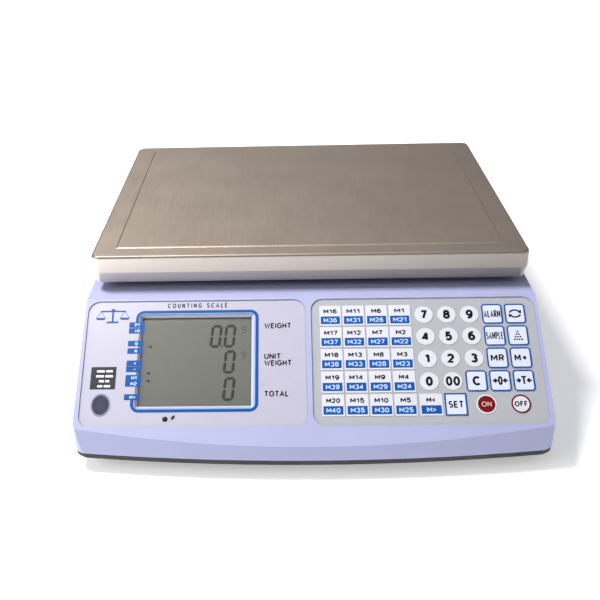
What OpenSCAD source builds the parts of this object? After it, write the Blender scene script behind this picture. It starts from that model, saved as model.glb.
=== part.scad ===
// Bench counting scale: a stainless pan on a single-point load cell, a two-piece casing
// with a sloping console, a liquid crystal display, a membrane keypad and levelling feet.
// Millimetres. +Z is up, the console faces -Y, and the origin is at the middle of the
// underside, level with the soles of the feet.

/* [Casing] */
// Width of the casing at its foot
case_w = 303; // [296:1:320]
// Depth of the whole scale, from the bowed front to the rear edge of the pan
scale_d = 324; // [318:1:340]
// Height of the flat deck under the pan
deck_z = 84; // [80:1:92]
// Slope of the console in degrees
slope = 36; // [30:1:38]
// Wall thickness of the upper casing
wall = 2.5; // [2:0.1:3]

/* [Pan] */
// Width of the pan
pan_w = 294; // [280:1:296]
// Depth of the pan
pan_d = 228; // [220:1:232]
// Height of the pan's rim above the table
pan_z = 110; // [108:1:114]
// Depth of the pan's skirt
skirt_h = 20; // [16:1:20]

/* [Keypad] */
// Travel of a key
key_travel = 0.4; // [0.2:0.1:0.4]
// Spacing of the key rows
row_pitch = 15.5; // [15:0.1:15.6]

/* [Hidden] */
$fn = 48;
eps = 0.01;

// Levels
tray_z = 9;
floor_z = 12;
part_z = 14;
front_y = -scale_d / 2;
rear_y = scale_d / 2 - 3;
bow_r = 1200;
front_corner_r = 9;
lean = 8;
lean_z = part_z + 0.6;
rear_corner_r = 12;
draft = 2;

// Pan place
pan_y = scale_d / 2 - pan_d / 2;
pan_front = pan_y - pan_d / 2;
sheet = 0.8;
pan_corner_r = 6;
bend_r = 2;
plateau_in = [15.5, 12.8];
plateau_h = 0.5;
plateau_step = 1;

// Console: the overlays' upper edge lies on this line, and places on the console are
// given as u across from the middle and v down the slope from that line
panel_y = pan_front - 13;
panel_z = deck_z - 1;
panel_l = 87.5;
overlay_top = -0.8;
rib_left = -3;
rib_right = 1;
overlay_side = case_w / 2 - 4;
overlay_r = 8;
fit_gap = 0.15;

// Display
film = 0.5;
window_mid = [-74.5, 42.3];
window_size = [76.6, 66];
lcd_view = [73, 62];
lcd_mid = [-74.75, 42.2];
lcd_glass_size = [78, 68, 2.8];
bezel_n = -3.8;
console_wall = 4.6;
lcd_frame_back = -11;

// Keypad layers, measured along the console's normal
circuit_floor = -2;
circuit_top = -1.6;
dome_h = 0.1;
tail_place = [69, 5];
key_bottom = -1.05;
key_top = -0.5;
key_gap = 0.1;
memory_u = 13.6;
memory_pitch = 15.2;
key_v = 12.1;
digit_u = 75;
digit_pitch = 14.92;
cell = [14.3, 14.4];
square_key = [13.5, 14.3];
digit_r = 6;

// Level
level_place = [-134.2, 72];
level_r = 6.2;
lamp_place = [-92.5, 82.2];
lamp_r = 1.75;

// Load cell
cell_len = 130;
cell_wide = 30;
cell_high = 22;
cell_z = 34;
bolt_pitch = 15;
cell_end = 50;
hub = 26;
hub_hole = 32;

// Fasteners
m6_r = 3;
m6_head_r = 5;
screw_r = 1.95;
run_gap = 0.06;

// Feet
foot_x = 122;
foot_front_y = -122;
foot_rear_y = 132;
foot_stud_r = 4;
foot_r = 14;

// Battery
battery_size = [101, 70, 47];
battery_y = 119;
door_size = [108, 76];
door_t = 1.4;

case_screw_places = [[-142, -100], [142, -100], [-142, 10], [142, 10], [-85, 148], [85, 148],
    [0, -148]];
board_place = [75, -30];
board_size = [110, 80, 1.6];
board_z = 26;
board_hole = [48, 33];

// ---------- outlines ----------

function arc(c, r, a0, a1, n) = [for (i = [0 : n]) let (a = a0 + (a1 - a0) * i / n)
    [c[0] + r * cos(a), c[1] + r * sin(a)]];

// Casing seen from above, moved inwards by i: straight sides and rear, and a bowed front
module plan(i = 0) {
    hw = case_w / 2 - i;
    rc = front_corner_r - i;
    rr = rear_corner_r - i;
    big = bow_r - i;
    yb = front_y + bow_r;
    s = asin((hw - rc) / (big - rc));
    yc = yb - (big - rc) * cos(s);
    yr = rear_y - i;
    translate([-hw, yc]) square([2 * hw, yr - rr - yc]);
    translate([-hw + rr, yc]) square([2 * hw - 2 * rr, yr - yc]);
    for (x = [-1, 1]) {
        translate([x * (hw - rc), yc]) circle(r = rc);
        translate([x * (hw - rr), yr - rr]) circle(r = rr);
    }
    intersection() {
        translate([0, yb]) circle(r = big, $fn = 2000);
        polygon([[-hw + rc, yc], [-(big + 9) * sin(s), yb - (big + 9) * cos(s)],
            [(big + 9) * sin(s), yb - (big + 9) * cos(s)], [hw - rc, yc]]);
    }
}

// Solid inside the casing's outer faces, moved inwards by i, and by c under the console
module casing_solid(i = 0, c = 0, bottom = part_z) {
    kink_y = panel_y + (deck_z - i - panel_z) / tan(slope) + c / sin(slope);
    intersection() {
        translate([0, 0, bottom]) linear_extrude(deck_z - i - bottom) plan(i);
        rotate([90, 0, 90]) translate([0, 0, -case_w]) linear_extrude(2 * case_w)
            polygon([[rear_y - i, bottom], [rear_y - i - 1.5, deck_z - i],
                [kink_y, deck_z - i],
                [front_y - 40, deck_z - i - (kink_y - front_y + 40) * tan(slope)],
                [front_y - 40, -60], [rear_y - i, -60]]);
        rotate([90, 0, 0]) translate([0, 0, -scale_d]) linear_extrude(2 * scale_d)
            polygon([[-case_w / 2 + i, -60], [-case_w / 2 + i, part_z],
                [-case_w / 2 + i + draft, deck_z], [case_w / 2 - i - draft, deck_z],
                [case_w / 2 - i, part_z], [case_w / 2 - i, -60]]);
        // the bowed front leans back
        translate([0, front_y + bow_r, lean_z - 20])
            cylinder(r1 = bow_r - i + 20 * tan(lean), r2 = bow_r - i - 100 * tan(lean), h = 120, $fn = 2000);
    }
}

// Places its children on the console
module on_panel(u = 0, v = 0, n = 0)
    translate([0, panel_y, panel_z]) rotate([slope, 0, 0]) translate([u, -v, n]) children();

// Rounded rectangle, centred
module round_rect(size, r) {
    square([size[0] - 2 * r, size[1]], center = true);
    square([size[0], size[1] - 2 * r], center = true);
    for (x = [-1, 1], y = [-1, 1])
        translate([x * (size[0] / 2 - r), y * (size[1] / 2 - r)]) circle(r);
}

module slab(size, r, n0, n1)
    translate([0, 0, n0]) linear_extrude(n1 - n0) round_rect(size, r);

module box(lo, hi) translate(lo) cube(hi - lo);

display_mid_u = (rib_left - overlay_side) / 2;
display_w = overlay_side + rib_left;
keypad_mid_u = (rib_right + overlay_side) / 2;
keypad_w = overlay_side - rib_right;

// ---------- casing ----------

module level_well(r) {
    p = [level_place[0], panel_y - level_place[1] * cos(slope)];
    translate([p[0], p[1], 25]) cylinder(r = r, h = 60);
}

module upper_housing() color([0.75, 0.76, 0.91]) {
    difference() {
        union() {
            difference() {
                casing_solid();
                casing_solid(wall, console_wall, part_z - 1);
            }
            intersection() {
                casing_solid(1, 1);
                union() {
                    level_well(level_r + 1.8);
                    for (p = case_screw_places)
                        translate([p[0], p[1], part_z + 2]) cylinder(r = 4, h = 80);
                }
            }
            // rim round the opening for the pan support
            translate([cell_end, pan_y, deck_z - 1]) linear_extrude(4)
                square(hub_hole + 4, center = true);
        }
        // pockets for the two overlays
        on_panel(display_mid_u, panel_l / 2)
            slab([display_w + 2 * fit_gap, panel_l + 2 * fit_gap], overlay_r, overlay_top - film, 5);
        on_panel(keypad_mid_u, panel_l / 2)
            slab([keypad_w + 2 * fit_gap, panel_l + 2 * fit_gap], overlay_r, circuit_floor, 5);
        // display opening with sloping sides, and a seat for the glass
        on_panel(0, 0) hull() {
            translate([window_mid[0], -window_mid[1], overlay_top - film])
                linear_extrude(eps) square([window_size[0] - 1, window_size[1] - 1], center = true);
            translate([lcd_mid[0], -lcd_mid[1], bezel_n - eps])
                linear_extrude(eps) square(lcd_view, center = true);
        }
        on_panel(lcd_mid[0], lcd_mid[1])
            slab([lcd_glass_size[0] + 0.4, lcd_glass_size[1] + 0.4], 0.5, -9, bezel_n);
        // level, lamp and keypad tail
        level_well(level_r);
        on_panel(lamp_place[0], lamp_place[1], -8) cylinder(r = lamp_r + 0.05, h = 12);
        for (x = [-1, 1], y = [-1, 1]) on_panel(lcd_mid[0], lcd_mid[1])
            translate([x * 43, y * 36, -6]) cylinder(r = 1.45, h = 3.7);
        on_panel(tail_place[0], tail_place[1], -8) slab([20, 2.4], 1, 0, 8);
        // pan support opening
        translate([cell_end, pan_y, deck_z - 8]) linear_extrude(20)
            square(hub_hole, center = true);
        // pilot holes
        for (p = case_screw_places)
            translate([p[0], p[1], part_z]) cylinder(r = 2, h = 14);
        // socket for the power lead
        translate([100, rear_y + 2, 32]) rotate([90, 0, 0]) cylinder(r = 4.1, h = 8);
    }
}

module foot_place(sx, front)
    translate([sx * foot_x, front ? foot_front_y : foot_rear_y, 0]) children();

module every_foot() for (sx = [-1, 1], front = [true, false]) foot_place(sx, front) children();

module base_tray() color([0.2, 0.19, 0.2]) {
    difference() {
        union() {
            translate([0, 0, tray_z + 2]) linear_extrude(part_z - tray_z - 2) plan(0.3);
            translate([0, 0, tray_z]) linear_extrude(2 + eps) plan(2);
            translate([0, 0, floor_z]) linear_extrude(4) plan(2.8);
        }
        translate([0, 0, floor_z]) linear_extrude(10) plan(4.8);
        base_holes();
    }
    difference() {
        union() {
            every_foot() translate([0, 0, floor_z - eps]) cylinder(r = 8, h = 14);
            // block under the fixed end of the load cell
            box([-cell_end - 20, pan_y - 18, floor_z - eps], [-cell_end + 20, pan_y + 18, cell_z]);
            // boss for the overload stop
            translate([cell_end, pan_y, floor_z - eps]) cylinder(r = 9, h = 12);
            for (p = case_screw_places)
                translate([p[0], p[1], floor_z - eps]) cylinder(r = 3.9, h = part_z + 2 - floor_z);
            for (x = [-1, 1], y = [-1, 1])
                translate([board_place[0] + x * board_hole[0], board_place[1] + y * board_hole[1],
                    floor_z - eps]) cylinder(r = 4, h = board_z - floor_z);
            // stiffening ribs
            for (x = [-100, -20, 20])
                box([x - 1, -118, floor_z - eps], [x + 1, pan_y - 30, 19]);
            for (y = [-90, 18])
                box([-135, y - 1, floor_z - eps], [12, y + 1, 19]);
            // walls of the battery bay
            for (s = [-1, 1])
                box([s * 57 - 1.2, battery_y - 36, floor_z - eps], [s * 57 + 1.2, battery_y + 34, 40]);
            for (y = [-28, 28]) {
                for (s = [-1, 1]) box([s * 57 - 1.2, battery_y + y - 4, 39],
                    [s * 57 + 1.2, battery_y + y + 4, 61]);
                box([-57, battery_y + y - 4, 58.6], [57, battery_y + y + 4, 61]);
            }
            box([-57, battery_y - 40.2, floor_z - eps], [57, battery_y - 37.8, 40]);
        }
        base_holes();
    }
}

module base_holes() {
    every_foot() translate([0, 0, tray_z - 1]) cylinder(r = foot_stud_r + run_gap, h = 30);
    for (x = [-1, 1]) translate([-cell_end + x * bolt_pitch / 2, pan_y, tray_z - 1]) {
        cylinder(r = m6_r + run_gap, h = 40);
        cylinder(r = m6_head_r + 0.4, h = 9);
    }
    translate([cell_end, pan_y, floor_z + 2]) cylinder(r = m6_r + run_gap, h = 40);
    for (p = case_screw_places) translate([p[0], p[1], tray_z - 1]) {
        cylinder(r = 2.1, h = 20);
        cylinder(r = 4.1, h = 3);
    }
    for (x = [-1, 1], y = [-1, 1])
        translate([board_place[0] + x * board_hole[0], board_place[1] + y * board_hole[1],
            floor_z + 4]) cylinder(r = 1.6, h = 20);
    // battery bay, and a ledge for the door
    box([-door_size[0] / 2 + 2, battery_y - door_size[1] / 2 + 2, tray_z - 1],
        [door_size[0] / 2 - 2, battery_y + door_size[1] / 2 - 3, 58.6 - 2]);
    box([-door_size[0] / 2, battery_y - door_size[1] / 2, tray_z - 1],
        [door_size[0] / 2, battery_y + door_size[1] / 2 - 1, tray_z + 1.6]);
}

module case_screws() color([0.7, 0.7, 0.72]) for (p = case_screw_places)
    translate([p[0], p[1], tray_z + 0.2]) difference() {
        union() {
            cylinder(r = 3.7, h = 1.8);
            cylinder(r = screw_r, h = 16);
        }
        cross_slot();
    }

module cross_slot() for (a = [0, 90]) rotate([0, 0, a]) translate([-2.4, -0.4, -eps]) cube([4.8, 0.8, 1]);

// ---------- display ----------

module display_overlay() color([0.78, 0.77, 0.83]) difference() {
    on_panel(display_mid_u, panel_l / 2) slab([display_w, panel_l], overlay_r - fit_gap,
        overlay_top - film, overlay_top);
    on_panel(window_mid[0], window_mid[1]) slab(window_size, 3, -2, 2);
    level_well(level_r);
    on_panel(lamp_place[0], lamp_place[1], -2) cylinder(r = lamp_r + 0.05, h = 4);
}

module display_window() color([0.85, 0.88, 0.9, 0.3])
    on_panel(window_mid[0], window_mid[1])
        slab([window_size[0] - 0.1, window_size[1] - 0.1], 2.95, overlay_top - film + eps, overlay_top);

module lcd_glass() color([0.5, 0.51, 0.48]) on_panel(lcd_mid[0], lcd_mid[1])
    slab([lcd_glass_size[0], lcd_glass_size[1]], 0.3, bezel_n - lcd_glass_size[2], bezel_n);

module lcd_frame() color([0.9, 0.9, 0.88]) on_panel(lcd_mid[0], lcd_mid[1]) difference() {
    slab([92, 78], 2, lcd_frame_back, -console_wall);
    slab([lcd_glass_size[0] + 0.4, lcd_glass_size[1] + 0.4], 0.5, bezel_n - lcd_glass_size[2], 0);
    for (x = [-1, 1], y = [-1, 1]) translate([x * 43, y * 36, -20]) cylinder(r = 1.5, h = 30);
    // notch for the lamp
    translate([lamp_place[0] - lcd_mid[0], lcd_mid[1] - lamp_place[1], -20])
        cylinder(r = 2.6, h = 30);
}

module display_board() color([0.1, 0.4, 0.2]) on_panel(lcd_mid[0], lcd_mid[1]) {
    difference() {
        slab([100, 84], 1.5, lcd_frame_back - 1.6, lcd_frame_back);
        for (x = [-1, 1], y = [-1, 1]) translate([x * 43, y * 36, -20]) cylinder(r = 1.55, h = 30);
    }
    // driver chip and connector on the back of the board
    box([-9, -9, lcd_frame_back - 3.6], [9, 9, lcd_frame_back - 1.6]);
    box([-15, 28, lcd_frame_back - 7.6], [15, 33, lcd_frame_back - 1.6]);
}

module charge_led() color([0.1, 0.1, 0.12]) on_panel(lamp_place[0], lamp_place[1]) {
    translate([0, 0, -6]) cylinder(r = lamp_r, h = 5.2);
    translate([0, 0, overlay_top - eps]) intersection() {
        cylinder(r = lamp_r, h = 0.5);
        translate([0, 0, -2.7]) sphere(r = 3.1);
    }
    translate([0, 0, -7]) cylinder(r = 2.3, h = 1);
    for (x = [-1.27, 1.27])
        translate([x, 0, lcd_frame_back]) cylinder(r = 0.3, h = -7 - lcd_frame_back + eps);
}

// Round level: a vial at the foot of a dark sleeve that follows the console's slope
module level_vial() color([0.35, 0.36, 0.42]) {
    p = [level_place[0], panel_y - level_place[1] * cos(slope)];
    difference() {
        translate([p[0], p[1], 26]) cylinder(r = level_r - 0.05, h = 30);
        translate([p[0], p[1], 35]) cylinder(r = level_r - 0.9, h = 30);
        translate([p[0], p[1], 28]) cylinder(r = level_r - 1.4, h = 5.4);
        on_panel(level_place[0], level_place[1], -0.6) translate([-20, -20, 0]) cube(40);
    }
}

// ---------- keypad ----------

function square_place(col, row) = [digit_u + digit_pitch * col, key_v + row_pitch * row];

// Round keys: column and row of each, counted from the 7 key
DIGITS = [[0, 0], [1, 0], [2, 0], [0, 1], [1, 1], [2, 1], [0, 2], [1, 2], [2, 2], [0, 3], [1, 3]];
// Square keys: clear, and the two columns of function keys
SQUARES = [[2, 3], [3, 0], [4, 0], [3, 1], [4, 1], [3, 2], [4, 2], [3, 3], [4, 3]];
last_v = key_v + 4 * row_pitch;
set_u = 90.5;
shift_u = memory_u + 4 * memory_pitch + 0.6;
on_u = 109.5;
off_u = 131;

module at_square(col, row) {
    p = square_place(col, row);
    on_panel(p[0], p[1]) children();
}

module digit_outline(g = 0) circle(r = digit_r + g);

module square_outline(g = 0) round_rect([square_key[0] + 2 * g, square_key[1] + 2 * g], 1.6);

module set_outline(g = 0) round_rect([14 + 2 * g, 14.9 + 2 * g], 0.6);

module cell_outline(g = 0) round_rect([cell[0] + 2 * g, cell[1] + 2 * g], 0.6);

module power_outline(g = 0) circle(r = 6.2 + g);

module key_body() color([0.93, 0.93, 0.95]) translate([0, 0, key_bottom])
    linear_extrude(key_top - key_bottom) children();

module digit(col, row) at_square(col, row) key_body() digit_outline();

module square_cap(col, row) at_square(col, row) key_body() square_outline();

module every_memory_cell() for (c = [0 : 3], r = [0 : 4])
    on_panel(memory_u + c * memory_pitch, key_v + r * row_pitch) children();

module memory_keys() every_memory_cell() key_body() cell_outline();

module key_hole() translate([0, 0, -3]) linear_extrude(6) children();

module dome() translate([0, 0, circuit_top - eps]) cylinder(r = 4, h = dome_h + eps);

module keypad_overlay() color([0.76, 0.77, 0.8]) difference() {
    on_panel(keypad_mid_u, panel_l / 2)
        slab([keypad_w, panel_l], overlay_r - fit_gap, circuit_top, overlay_top);
    for (k = DIGITS) at_square(k[0], k[1]) key_hole() digit_outline(key_gap);
    for (k = SQUARES) at_square(k[0], k[1]) key_hole() square_outline(key_gap);
    every_memory_cell() key_hole() cell_outline(key_gap);
    on_panel(shift_u, last_v) key_hole() cell_outline(key_gap);
    on_panel(set_u, last_v) key_hole() set_outline(key_gap);
    for (u = [on_u, off_u]) on_panel(u, last_v) key_hole() power_outline(key_gap);
}

// Printed layer under the keys, and its tail, which runs through a slot in the console and
// down to the connector on the main board
module keypad_circuit() color([0.55, 0.6, 0.5]) {
    on_panel(keypad_mid_u, panel_l / 2)
        slab([keypad_w, panel_l], overlay_r - fit_gap, circuit_floor, circuit_top);
    for (k = concat(DIGITS, SQUARES)) at_square(k[0], k[1]) dome();
    every_memory_cell() dome();
    for (u = [shift_u, set_u, on_u, off_u]) on_panel(u, last_v) dome();
    on_panel(tail_place[0], tail_place[1])
        translate([-9, -0.2, -6]) cube([18, 0.4, 6 + circuit_floor + 0.1]);
    drop = [panel_y - tail_place[1] * cos(slope) + 5.9 * sin(slope),
        panel_z - tail_place[1] * sin(slope) - 5.9 * cos(slope)];
    end = [board_place[1] - 36.4, board_z + board_size[2] + 6.5];
    translate([tail_place[0] - 9, 0, 0]) rotate([90, 0, 90]) linear_extrude(18) polygon([
        [drop[0] - 0.24, drop[1]], [drop[0] + 0.24, drop[1]], [end[0] + 0.2, drop[1] - 8],
        [end[0] + 0.2, end[1]], [end[0] - 0.2, end[1]], [end[0] - 0.2, drop[1] - 7.9]]);
}

// ---------- electronics ----------

module main_board() color([0.1, 0.42, 0.2]) translate([board_place[0], board_place[1], board_z]) {
    difference() {
        slab([board_size[0], board_size[1]], 2, 0, board_size[2]);
        for (x = [-1, 1], y = [-1, 1])
            translate([x * board_hole[0], y * board_hole[1], -1]) cylinder(r = 1.7, h = 5);
    }
    top = board_size[2];
    // processor, converter and memory
    for (c = [[0, 0, 14, 14, 1.6], [25, -12, 10, 8, 1.6], [-24, -10, 9, 7, 1.6]])
        box([c[0] - c[2] / 2, c[1] - c[3] / 2, top], [c[0] + c[2] / 2, c[1] + c[3] / 2, top + c[4]]);
    // keypad, load cell, display and supply connectors
    box([-17, -39, top], [5, -34, top + 6.5]);
    box([-53, -8, top], [-47, 12, top + 8]);
    box([-53, 14, top], [-47, 27, top + 7]);
    box([20, 34, top], [40, 39, top + 8]);
    // smoothing capacitors and sounder
    for (x = [30, 42]) translate([x, 18, top]) cylinder(r = 4, h = 12);
    translate([-26, 18, top]) cylinder(r = 6, h = 8);
    // heat sink
    difference() {
        box([8, 14, top], [22, 26, top + 14]);
        for (x = [10.2, 13.2, 16.2, 19.2]) box([x - 0.7, 13, top + 2], [x + 1.1, 27, top + 15]);
    }
}

module pan_head_screw(shank, length) {
    difference() {
        cylinder(r = 2.9, h = 1.8);
        translate([0, 0, 1.8]) mirror([0, 0, 1]) cross_slot();
    }
    translate([0, 0, -length]) cylinder(r = shank, h = length + eps);
}

module board_screws() color([0.75, 0.75, 0.77]) {
    for (x = [-1, 1], y = [-1, 1])
        translate([board_place[0] + x * board_hole[0], board_place[1] + y * board_hole[1],
            board_z + board_size[2]]) pan_head_screw(1.5, 9);
    for (x = [-1, 1], y = [-1, 1]) on_panel(lcd_mid[0], lcd_mid[1])
        translate([x * 43, y * 36, lcd_frame_back - 1.6]) mirror([0, 0, 1]) pan_head_screw(1.4, 10);
}

module load_cell() color([0.78, 0.79, 0.8]) translate([0, pan_y, cell_z]) difference() {
    box([-cell_len / 2, -cell_wide / 2, 0], [cell_len / 2, cell_wide / 2, cell_high]);
    // the two thinned flexing zones, joined by a slot
    for (x = [-1, 1]) translate([x * 13, 0, cell_high / 2]) rotate([90, 0, 0])
        cylinder(r = 9, h = cell_wide + 2, center = true);
    box([-13, -cell_wide, cell_high / 2 - 4], [13, cell_wide, cell_high / 2 + 4]);
    for (s = [-1, 1], x = [-1, 1])
        translate([s * cell_end + x * bolt_pitch / 2, 0, -1]) cylinder(r = m6_r + run_gap, h = 30);
}

module socket_bolt(length) {
    difference() {
        cylinder(r = m6_head_r, h = 6);
        translate([0, 0, 3]) cylinder(r = 2.9, h = 4, $fn = 6);
    }
    translate([0, 0, -length]) cylinder(r = m6_r, h = length + eps);
}

module load_cell_bolts() color([0.3, 0.3, 0.32]) for (x = [-1, 1])
    translate([-cell_end + x * bolt_pitch / 2, pan_y, tray_z + 8]) mirror([0, 0, 1])
        socket_bolt(28);

module overload_stop() color([0.72, 0.72, 0.74]) translate([cell_end, pan_y, floor_z + 2]) {
    cylinder(r = m6_r, h = cell_z - 0.5 - floor_z - 2);
    translate([0, 0, 10 + eps]) difference() {
        cylinder(r = 5.8, h = 5, $fn = 6);
        translate([0, 0, -1]) cylinder(r = m6_r - 0.02, h = 8);
    }
}

// Flat cable from the back of the display board to the main board
module display_ribbon() color([0.7, 0.7, 0.72]) {
    start = [lcd_mid[0] + 15, panel_y - 13.1 * cos(slope) + (lcd_frame_back - 4.6) * -sin(slope),
        panel_z - 13.1 * sin(slope) + (lcd_frame_back - 4.6) * cos(slope)];
    stop = [22, board_place[1] + 20.5, 32];
    run = [[start[0], start[2]], [start[0] + 6, start[2]], [-30, 52], [4, 46], [14, stop[2]],
        [stop[0] - 0.3, stop[2]]];
    translate([0, stop[1] + 6, 0]) rotate([90, 0, 0]) linear_extrude(12) for (i = [0 : 4])
        ribbon_run(run[i], run[i + 1]);
    box([start[0], start[1] - 2, start[2] - 0.4], [start[0] + 6, stop[1] + 6, start[2] + 0.4]);
}

// One straight stretch of a flat cable, seen from its edge
module ribbon_run(a, b) {
    d = b - a;
    translate(a) rotate(atan2(d[1], d[0])) translate([0, -0.4]) square([norm(d) + 0.3, 0.8]);
}

// Point at fraction t of the smooth curve between points i and i + 1
function bend(p, i, t) = let (
        a = p[max(i - 1, 0)], b = p[i], c = p[i + 1], d = p[min(i + 2, len(p) - 1)])
    0.5 * (2 * b + (c - a) * t + (2 * a - 5 * b + 4 * c - d) * t * t
        + (3 * b - a - 3 * c + d) * t * t * t);

function unit(v) = v / norm(v);

// Wire of radius r along a smooth curve through the points
module wire(points, r, steps = 4, sides = 8) {
    path = concat([for (i = [0 : len(points) - 2], k = [0 : steps - 1]) bend(points, i, k / steps)],
        [points[len(points) - 1]]);
    last = len(path) - 1;
    rings = [for (i = [0 : last]) let (
            t = unit(path[min(i + 1, last)] - path[max(i - 1, 0)]),
            u = unit(cross([0.41, 0.17, 0.9], t)), w = cross(t, u))
        for (j = [0 : sides - 1]) path[i]
            + r * (cos(360 * j / sides) * u + sin(360 * j / sides) * w)];
    skin = [for (i = [0 : last - 1], j = [0 : sides - 1]) let (
            a = i * sides + j, b = i * sides + (j + 1) % sides)
        for (f = [[a, a + sides, b], [b, a + sides, b + sides]]) f];
    polyhedron(points = rings, faces = concat(skin, [[for (j = [0 : sides - 1]) j]],
        [[for (j = [sides - 1 : -1 : 0]) last * sides + j]]));
}

module load_cell_cable() color([0.35, 0.35, 0.37])
    wire([[-65, pan_y, 45], [-73, pan_y - 1, 44], [-80, pan_y - 12, 36], [-76, pan_y - 34, 26],
        [-40, -2, 23], [2, -8, 25], [12, -26, 31], [21.9, -28, 31.6]], 2.2);

module battery() color([0.25, 0.26, 0.3]) {
    z0 = tray_z + 2.2;
    translate([-battery_size[0] / 2, battery_y - battery_size[1] / 2, z0]) cube(battery_size);
    // lid seam and two blade terminals at the end
    for (y = [-18, 18]) box([battery_size[0] / 2, battery_y + y - 2.4, z0 + 38],
        [battery_size[0] / 2 + 3.2, battery_y + y + 2.4, z0 + 38.8]);
}

module power_leads() color([0.75, 0.1, 0.1]) {
    wire([[53.7, battery_y - 18, 49.7], [60, battery_y - 22, 52], [66, 70, 52], [97, 56, 42],
        [97, 15, 34], [97, 9, 32]], 1.1);
    wire([[53.7, battery_y + 18, 49.7], [64, battery_y + 12, 56], [72, 76, 56], [102, 58, 42],
        [102, 15, 34], [102, 9, 32]], 1.1);
    wire([[98.5, rear_y - 12, 32], [97, 130, 28], [106, 60, 26], [107, 15, 33], [107, 9, 32]], 0.9);
    wire([[101.5, rear_y - 12, 32], [101, 130, 24], [112, 60, 22], [112, 15, 32], [112, 9, 31.6]],
        0.9);
}

module battery_door() color([0.2, 0.19, 0.2]) {
    g = 0.4;
    difference() {
        union() {
            box([-door_size[0] / 2 + g, battery_y - door_size[1] / 2 + g + door_t / 2, tray_z],
                [door_size[0] / 2 - g, battery_y + door_size[1] / 2 - 1 - g, tray_z + door_t]);
            // round front edge, about which the door tilts
            translate([0, battery_y - door_size[1] / 2 + g + door_t / 2, tray_z + door_t / 2])
                rotate([0, 90, 0])
                    cylinder(r = door_t / 2, h = door_size[0] - 2 * g, center = true);
        }
        // finger recess and grip ribs
        for (i = [0 : 4]) box([-12, battery_y + 22 + 2.4 * i, tray_z - 1],
            [12, battery_y + 23.2 + 2.4 * i, tray_z + 0.6]);
    }
    // foam seat for the battery
    box([-40, battery_y - 25, tray_z + door_t - eps], [40, battery_y + 25, tray_z + 2.1]);
}

module dc_jack() color([0.12, 0.12, 0.13]) translate([100, rear_y, 32]) rotate([-90, 0, 0]) {
    difference() {
        union() {
            translate([0, 0, -12]) cylinder(r = 3.9, h = 13);
            translate([0, 0, 0.2]) cylinder(r = 5.6, h = 1.8);
            translate([0, 0, -6.4]) cylinder(r = 6, h = 2.4, $fn = 6);
        }
        translate([0, 0, -9]) cylinder(r = 3.15, h = 12);
    }
    translate([0, 0, -9 - eps]) cylinder(r = 1.05, h = 9);
}

// ---------- weighing platform ----------

// Half of the pan's section: distance outwards from the corner centre, and height
function skirt_section() = let (
        o = pan_corner_r, t = sheet, zt = pan_z,
        low = zt - skirt_h, mid = low + 8, taper = 2.2)
    concat(
        [[0, zt]],
        arc([o - bend_r, zt - bend_r], bend_r, 90, 0, 8),
        [[o, mid], [o - taper, low], [o - taper - t, low], [o - t, mid]],
        arc([o - bend_r, zt - bend_r], bend_r - t, 0, 90, 8),
        [[0, zt - t]]);

module skirt_run(length) rotate([90, 0, 0]) translate([0, 0, -length / 2])
    linear_extrude(length) polygon(skirt_section());

module plateau(i, dz) {
    foot = [pan_w, pan_d] - 2 * plateau_in - [2 * i, 2 * i];
    hull() {
        translate([0, 0, pan_z - sheet - 1 + dz]) linear_extrude(1 + sheet + eps)
            square(foot, center = true);
        translate([0, 0, pan_z + plateau_h - eps + dz]) linear_extrude(eps)
            square(foot - [2 * plateau_step, 2 * plateau_step], center = true);
    }
}

module pan() color([0.66, 0.62, 0.58]) translate([0, pan_y, 0]) {
    w = pan_w / 2 - pan_corner_r;
    d = pan_d / 2 - pan_corner_r;
    difference() {
        union() {
            translate([0, 0, pan_z - sheet]) linear_extrude(sheet) square([2 * w, 2 * d], center = true);
            translate([w, 0, 0]) skirt_run(2 * d);
            translate([-w, 0, 0]) rotate([0, 0, 180]) skirt_run(2 * d);
            translate([0, d, 0]) rotate([0, 0, 90]) skirt_run(2 * w);
            translate([0, -d, 0]) rotate([0, 0, -90]) skirt_run(2 * w);
            for (c = [[w, d, 0], [-w, d, 90], [-w, -d, 180], [w, -d, 270]])
                translate([c[0], c[1], 0]) rotate([0, 0, c[2]])
                    rotate_extrude(angle = 90) polygon(skirt_section());
            intersection() {
                plateau(0, 0);
                translate([0, 0, pan_z - sheet / 2]) linear_extrude(10) square(400, center = true);
            }
        }
        plateau(0.4, -sheet);
    }
}

arm_end = [112, 82];

module arm_run(x, y) {
    l = norm([x, y]);
    rotate([0, 0, atan2(y, x)]) translate([0, -7, 0]) cube([l, 14, 8]);
}

module pan_support() color([0.72, 0.73, 0.74]) difference() {
    translate([0, pan_y, 0]) {
        difference() {
            union() {
                translate([0, 0, 92]) for (x = [-1, 1], y = [-1, 1])
                    arm_run(x * arm_end[0], y * arm_end[1]);
                box([-34, -22, 92], [cell_end + 18, 22, 99]);
                for (x = [-1, 1]) box([x * 78 - 5, -52, 92], [x * 78 + 5, 52, 98]);
                for (x = [-1, 1], y = [-1, 1])
                    translate([x * arm_end[0], y * arm_end[1], 92]) cylinder(r = 12, h = 14.4);
                box([cell_end - hub / 2, -hub / 2, cell_z + cell_high], [cell_end + hub / 2, hub / 2, 93]);
            }
            for (x = [-1, 1], y = [-1, 1])
                translate([x * arm_end[0], y * arm_end[1], 99]) cylinder(r = 3.1, h = 12);
        }
    }
    for (x = [-1, 1]) translate([cell_end + x * bolt_pitch / 2, pan_y, 0]) {
        translate([0, 0, 40]) cylinder(r = m6_r + run_gap, h = 80);
        translate([0, 0, 92.5]) cylinder(r = m6_head_r + 0.5, h = 20);
    }
}

module support_bolts() color([0.3, 0.3, 0.32]) for (x = [-1, 1])
    translate([cell_end + x * bolt_pitch / 2, pan_y, 92.5]) socket_bolt(48);

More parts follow.
